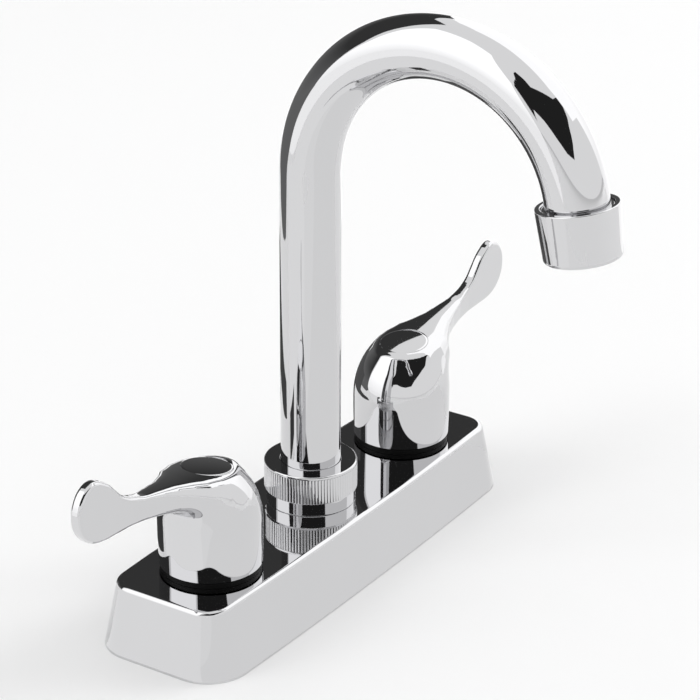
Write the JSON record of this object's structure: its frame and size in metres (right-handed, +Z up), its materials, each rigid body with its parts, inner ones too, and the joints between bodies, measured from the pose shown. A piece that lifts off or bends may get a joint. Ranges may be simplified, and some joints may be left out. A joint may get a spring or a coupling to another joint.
{
  "type": "centreset sink mixer",
  "caption": "Two-handle bathroom sink mixer on a long chrome base, with fish-tail levers, a swivelling gooseneck spout and an aerator.",
  "frame": {"origin": "centre of the base's foot, on the deck that the mixer stands on", "axes": "+X to the right along the base as a user sees it, -Y towards the user where the spout reaches, +Z up"},
  "size_m": [0.2206, 0.1226, 0.218],
  "materials": {
    "chrome": "bright polished chrome plate",
    "chrome_cap": "bright polished chrome plate, flat cap",
    "brass": "machined brass",
    "steel": "stainless steel",
    "black_plastic": "black moulded plastic",
    "white_plastic": "white nylon",
    "grey_plastic": "light grey acetal",
    "black_rubber": "black rubber",
    "ceramic": "lapped white ceramic"
  },
  "bodies": {
    "mixer_body": {"base_cover": "chrome", "deck_plate": "black_plastic", "waterway_body": "brass", "collar_nut": "chrome", "thrust_washer": "white_plastic", "left_seat_ring": "black_plastic", "left_bonnet_nut": "brass", "left_cartridge_housing": "brass", "left_fixed_disc": "ceramic", "left_seat_gasket": "black_rubber", "left_inlet_shank": "brass", "left_mounting_washer": "steel", "left_mounting_nut": "brass", "right_seat_ring": "black_plastic", "right_bonnet_nut": "brass", "right_cartridge_housing": "brass", "right_fixed_disc": "ceramic", "right_seat_gasket": "black_rubber", "right_inlet_shank": "brass", "right_mounting_washer": "steel", "right_mounting_nut": "brass"},
    "left_lever": {"left_handle": "chrome", "left_index_cap": "chrome_cap", "left_handle_screw": "steel", "left_valve_stem": "brass", "left_stem_seal": "black_rubber", "left_stem_clip": "steel", "left_moving_disc": "ceramic"},
    "right_lever": {"right_handle": "chrome", "right_index_cap": "chrome_cap", "right_handle_screw": "steel", "right_valve_stem": "brass", "right_stem_seal": "black_rubber", "right_stem_clip": "steel", "right_moving_disc": "ceramic"},
    "spout": {"spout_tube": "chrome", "spout_end_fitting": "brass", "spout_seals": "black_rubber", "spout_retaining_ring": "white_plastic", "outlet_nipple": "chrome", "aerator_housing": "chrome", "aerator_washer": "black_rubber", "aerator_insert": "grey_plastic", "aerator_screen": "steel"}
  },
  "joints": [
    {"name": "left_handle_turn", "type": "hinge", "parent": "mixer_body", "child": "left_lever", "pos_m": [-0.0508, 0, 0.03], "axis": [0, 0, 1], "range_deg": [0, 90]},
    {"name": "right_handle_turn", "type": "hinge", "parent": "mixer_body", "child": "right_lever", "pos_m": [0.0508, 0, 0.03], "axis": [0, 0, 1], "range_deg": [-90, 0]},
    {"name": "spout_swivel", "type": "hinge", "parent": "mixer_body", "child": "spout", "pos_m": [0, 0, 0.03], "axis": [0, 0, 1], "continuous": true}
  ]
}
